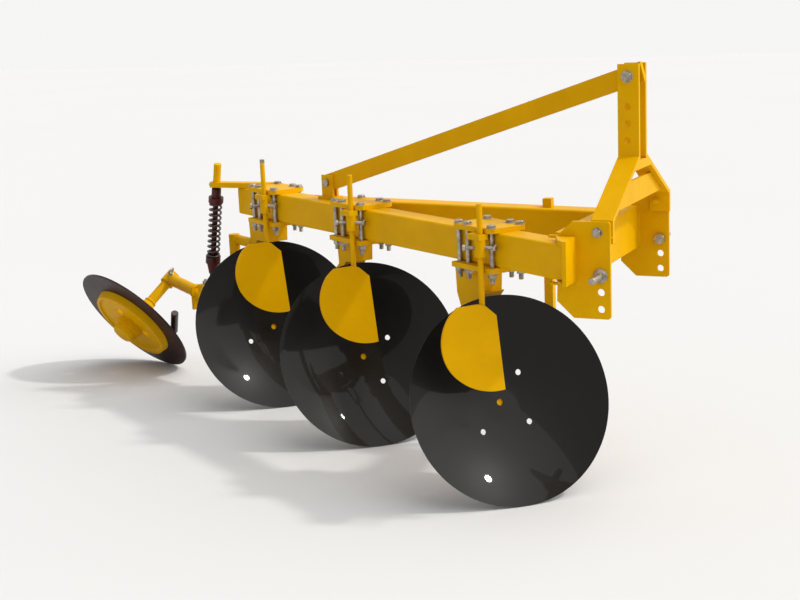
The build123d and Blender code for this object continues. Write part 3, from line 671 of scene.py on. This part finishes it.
class PLOUGH_OT_set_screws(bpy.types.Operator):
    """Plated set screws that hold each scraper rod in its boss"""
    bl_idname = "plough.set_screws"
    bl_label = "Scraper set screws"

    def execute(self, context):
        sheets = []
        for row in HANGERS.values():
            for back, near in ((0.50, 0.86), (-0.91, -0.41)):
                at = beam_point(row["rod"] + back * 0.017, ROD_SIDE + near * 0.017, SCREW_HEIGHT)
                away = BEAM_BACK * back + BEAM_NEAR * near
                parts = (
                    (thread_rings(0.0062, 0.0, 0.034, 0.0016), False),
                    (hex_rings(0.0095, 0.0085, 0.0, 0.030), False))
                sheets += [(put(grid, at, away), close, True) for grid, close in parts]
        mesh_from("scraper_set_screws", sheets, plated_steel(), "frame")
        return {"FINISHED"}


class PLOUGH_OT_hitch_fixings(bpy.types.Operator):
    """Link pins with washers, plate bolts and the top pin, all with real hexagons"""
    bl_idname = "plough.hitch_fixings"
    bl_label = "Hitch fixings"

    def execute(self, context):
        steel = plated_steel()
        for side, name in ((-1, "right"), (1, "left")):
            out = (0, side, 0)
            face = hitch_point(0, side * 0.340, 0)
            back = hitch_point(0, side * 0.328, 0)
            pin = [(0, -0.030), (0.0110, -0.030), (0.0110, 0.082), (0.0095, 0.088), (0.006, 0.090),
                   (0, 0.090)]
            collar = [(0.0109, 0.0), (0.0205, 0.0), (0.0215, 0.001), (0.0215, 0.0045), (0.020, 0.005),
                      (0.019, 0.0055), (0.019, 0.0115), (0.018, 0.012), (0.0109, 0.012)]
            sheets = [(put(turned(pin, 40), face, out), False, True),
                      (put(turned(collar, 40), face, out), True, True),
                      (put(hex_rings(0.0165, 0.017, 0.0109), back, (0, -side, 0)), True, True)]
            mesh_from("link_pin_" + name, sheets, steel, "frame", stands_for=("pin_" + name,))
        half = context.scene.plough_fixings.nut_half * 0.92
        for side, name, finish in ((-1, "right", steel), (1, "left", implement_yellow())):
            face = hitch_point(-0.008, side * 0.340, 0.126)
            back = hitch_point(-0.008, side * 0.314, 0.126)
            sheets = [
                (put(ring_rings(0.0079, 0.0150, 0, 0.003), face, (0, side, 0)), True, True),
                (put(hex_rings(half, 0.010, 0.0, 0.003), face, (0, side, 0)), False, True),
                (put(turned([(0, -0.030), (0.0078, -0.029), (0.0078, 0.002), (0, 0.003)], 24), face,
                     (0, side, 0)), False, True),
                (put(hex_rings(half, 0.013, 0.0079), back, (0, -side, 0)), True, True),
                (put(thread_rings(0.0079, 0.0, 0.024), back, (0, -side, 0)), False, True)]
            mesh_from("plate_fixings_" + name, sheets, finish, "frame",
                      stands_for=("plate_bolts",) if side < 0 else ())
        at = hitch_point(0, 0, 0.550)
        sheets = [(put(turned([(0, -0.058), (0.0088, -0.057), (0.0094, -0.055), (0.0094, 0.055),
                               (0.0088, 0.057), (0, 0.058)], 32), at, (0, 1, 0)), False, True)]
        for side in (-1, 1):
            face = hitch_point(0, side * 0.045, 0.550)
            sheets += [(put(ring_rings(0.0095, 0.0185, 0, 0.003), face, (0, side, 0)), True, True),
                       (put(hex_rings(0.0140, 0.009, 0.0095, 0.003), face, (0, side, 0)), True, True)]
        mesh_from("top_fixing", sheets, steel, "frame", stands_for=("top_pin",))
        return {"FINISHED"}


class PLOUGH_OT_welds(bpy.types.Operator):
    """Weld beads where beams, plates and mast meet"""
    bl_idname = "plough.welds"
    bl_label = "Welds"

    def execute(self, context):
        sheets = []

        def bead(start, end, radius=0.0045):
            sheets.append((weld_rings(start, end, radius), False, True))

        for side in (-1, 1):
            bead(hitch_point(-0.030, side * 0.328, 0.110), hitch_point(0.035, side * 0.328, 0.110))
            for z in (-0.030, 0.110):
                bead(hitch_point(-0.162, side * 0.328, z), hitch_point(-0.072, side * 0.328, z))
            bead(hitch_point(-0.072, side * 0.328, -0.030), hitch_point(-0.072, side * 0.328, 0.110))
        bead(beam_point(1.44, BEAM_REAR, BEAM_HIGH - 0.006), beam_point(1.62, BEAM_REAR, BEAM_HIGH - 0.006))
        bead(hitch_point(-0.084, -0.345, -0.018), hitch_point(-0.084, -0.430, -0.018))
        # Legs under their clamp plates, bracket on the beam, stub on the rear leg, joints of the crank.
        low = BEAM_LOW - CLAMP_PLATE
        for name, half in (("front", 0.066), ("middle", 0.050), ("rear", 0.078)):
            leg = HANGERS[name]["leg"]
            reach = min(leg + half, HANGERS[name]["clamp"] + 0.100)
            bead(beam_point(leg - half + 0.002, 0.035, low), beam_point(reach, 0.035, low))
            bead(beam_point(leg - half, 0.033, low), beam_point(leg - half, -0.050, low))
        for s, y, z, radius in ((2.003, 0.014, 0.612, 0.0200), (2.4235, 0.0795, 0.364, 0.0265),
                                (2.439, 0.0800, 0.364, 0.0262)):
            sheets.append((weld_circle(beam_point(s, y, z), BEAM_BACK, radius), True, True))
        axis = unit(WHEEL_AXIS)
        for along, ring in ((-0.231, 0.0225), (-0.118, 0.0225)):
            sheets.append((weld_circle(WHEEL_AT + axis * along, axis, ring), True, True))
        mesh_from("weld_beads", sheets, implement_yellow(), "frame", crease=80)
        return {"FINISHED"}


class PLOUGH_OT_studio(bpy.types.Operator):
    """Pale floor, soft light and the camera at the picture's viewing angle"""
    bl_idname = "plough.studio"
    bl_label = "Studio"

    def execute(self, context):
        look = context.scene.plough_studio
        scene = context.scene
        floor_mesh = bpy.data.meshes.new("floor")
        floor_mesh.from_pydata([(-30, -30, 0), (30, -30, 0), (30, 30, 0), (-30, 30, 0)], [], [(0, 1, 2, 3)])
        floor = bpy.data.objects.new("floor", floor_mesh)
        scene.collection.objects.link(floor)
        finish = bpy.data.materials.new("studio_floor")
        finish.use_nodes = True
        tree = finish.node_tree
        shader = tree.nodes["Principled BSDF"]
        where = add(tree, "ShaderNodeTexCoord", (-700, 0))
        grain = add(tree, "ShaderNodeTexNoise", (-500, 0), Scale=0.35, Detail=1.0)
        tree.links.new(where.outputs["Object"], grain.inputs["Vector"])
        tint = add(tree, "ShaderNodeMix", (-300, 0), data_type="RGBA")
        tint.inputs["A"].default_value = (*[c * 0.985 for c in look.floor], 1)
        tint.inputs["B"].default_value = (*[min(1, c * 1.015) for c in look.floor], 1)
        tree.links.new(grain.outputs["Fac"], tint.inputs["Factor"])
        tree.links.new(tint.outputs["Result"], shader.inputs["Base Color"])
        shader.inputs["Roughness"].default_value = 0.9
        shader.inputs["Specular IOR Level"].default_value = 0.1
        floor_mesh.materials.append(finish)

        world = bpy.data.worlds.new("studio_world")
        world.use_nodes = True
        scene.world = world
        tree = world.node_tree
        lit = tree.nodes["Background"]
        lit.inputs["Color"].default_value = (0.96, 0.98, 1.0, 1)
        lit.inputs["Strength"].default_value = look.sky
        seen = add(tree, "ShaderNodeBackground", (0, -200))
        seen.inputs["Color"].default_value = (0.920, 0.918, 0.914, 1)
        path = add(tree, "ShaderNodeLightPath", (-500, 200))
        either = add(tree, "ShaderNodeMath", (-250, 200), operation="MAXIMUM")
        any_of = add(tree, "ShaderNodeMath", (-100, 200), operation="MAXIMUM")
        tree.links.new(path.outputs["Is Camera Ray"], either.inputs[0])
        tree.links.new(path.outputs["Is Glossy Ray"], either.inputs[1])
        tree.links.new(either.outputs[0], any_of.inputs[0])
        tree.links.new(path.outputs["Is Transmission Ray"], any_of.inputs[1])
        mix = add(tree, "ShaderNodeMixShader", (200, 0))
        tree.links.new(any_of.outputs[0], mix.inputs["Fac"])
        tree.links.new(lit.outputs[0], mix.inputs[1])
        tree.links.new(seen.outputs[0], mix.inputs[2])
        tree.links.new(mix.outputs[0], tree.nodes["World Output"].inputs["Surface"])

        towards = unit((0.65, 0.18, 0.735))
        across = unit(np.cross((0, 0, 1), towards))
        above = np.cross(towards, across)
        turn = Matrix([(across[i], above[i], towards[i], towards[i] * 5) for i in range(3)]
                      + [(0, 0, 0, 1)])
        for name, energy, spread in (("key", look.sun, 3.6), ("broad", look.broad, 94.0)):
            light = bpy.data.lights.new(name, "SUN")
            light.energy = energy
            light.angle = math.radians(spread)
            light.color = (1.0, 0.97, 0.92)
            lamp = bpy.data.objects.new(name, light)
            scene.collection.objects.link(lamp)
            lamp.matrix_world = turn

        azimuth, elevation, roll = math.radians(25.0), math.radians(11.6), math.radians(-2.4)
        right = np.array((math.cos(azimuth), math.sin(azimuth), 0))
        back = np.array((math.sin(azimuth) * math.cos(elevation),
                         -math.cos(azimuth) * math.cos(elevation), math.sin(elevation)))
        up = np.cross(back, right)
        tilted_right = math.cos(roll) * right + math.sin(roll) * up
        tilted_up = -math.sin(roll) * right + math.cos(roll) * up
        eye = HITCH + (1.2201, -4.3288, 0.8020)
        camera_data = bpy.data.cameras.new("camera")
        camera_data.lens = look.lens
        camera_data.sensor_width = 36.0
        camera_data.clip_end = 200
        camera = bpy.data.objects.new("camera", camera_data)
        scene.collection.objects.link(camera)
        camera.matrix_world = Matrix(
            [(tilted_right[i], tilted_up[i], back[i], eye[i]) for i in range(3)] + [(0, 0, 0, 1)])
        scene.camera = camera
        scene.view_settings.view_transform = "Standard"
        return {"FINISHED"}


class PLOUGH_PT_panel(bpy.types.Panel):
    bl_idname = "PLOUGH_PT_panel"
    bl_label = "Disc plough"
    bl_space_type = "VIEW_3D"
    bl_region_type = "UI"
    bl_category = "Plough"

    def draw(self, context):
        for group_name in ("plough_paint", "plough_spring", "plough_fixings", "plough_dish",
                           "plough_studio"):
            settings = getattr(context.scene, group_name)
            box = self.layout.box()
            for key in settings.bl_rna.properties.keys():
                if key not in ("rna_type", "name"):
                    box.prop(settings, key)
        for operator in OPERATORS:
            self.layout.operator(operator.bl_idname)


SETTINGS = (
    ("plough_paint", PaintSettings),
    ("plough_spring", SpringSettings),
    ("plough_fixings", FixingSettings),
    ("plough_dish", DishSettings),
    ("plough_studio", StudioSettings),
)
OPERATORS = (
    PLOUGH_OT_paint,
    PLOUGH_OT_dishes,
    PLOUGH_OT_clamp_fixings,
    PLOUGH_OT_spring,
    PLOUGH_OT_rear_fixings,
    PLOUGH_OT_set_screws,
    PLOUGH_OT_hitch_fixings,
    PLOUGH_OT_welds,
    PLOUGH_OT_studio,
)


def register():
    for name, kind in SETTINGS:
        bpy.utils.register_class(kind)
        setattr(bpy.types.Scene, name, PointerProperty(type=kind))
    for kind in OPERATORS:
        bpy.utils.register_class(kind)
    bpy.utils.register_class(PLOUGH_PT_panel)


def unregister():
    bpy.utils.unregister_class(PLOUGH_PT_panel)
    for kind in reversed(OPERATORS):
        bpy.utils.unregister_class(kind)
    for name, kind in reversed(SETTINGS):
        delattr(bpy.types.Scene, name)
        bpy.utils.unregister_class(kind)


def main():
    register()
    for operator in OPERATORS:
        area, name = operator.bl_idname.split(".")
        getattr(getattr(bpy.ops, area), name)()


if __name__ == "__main__":
    main()
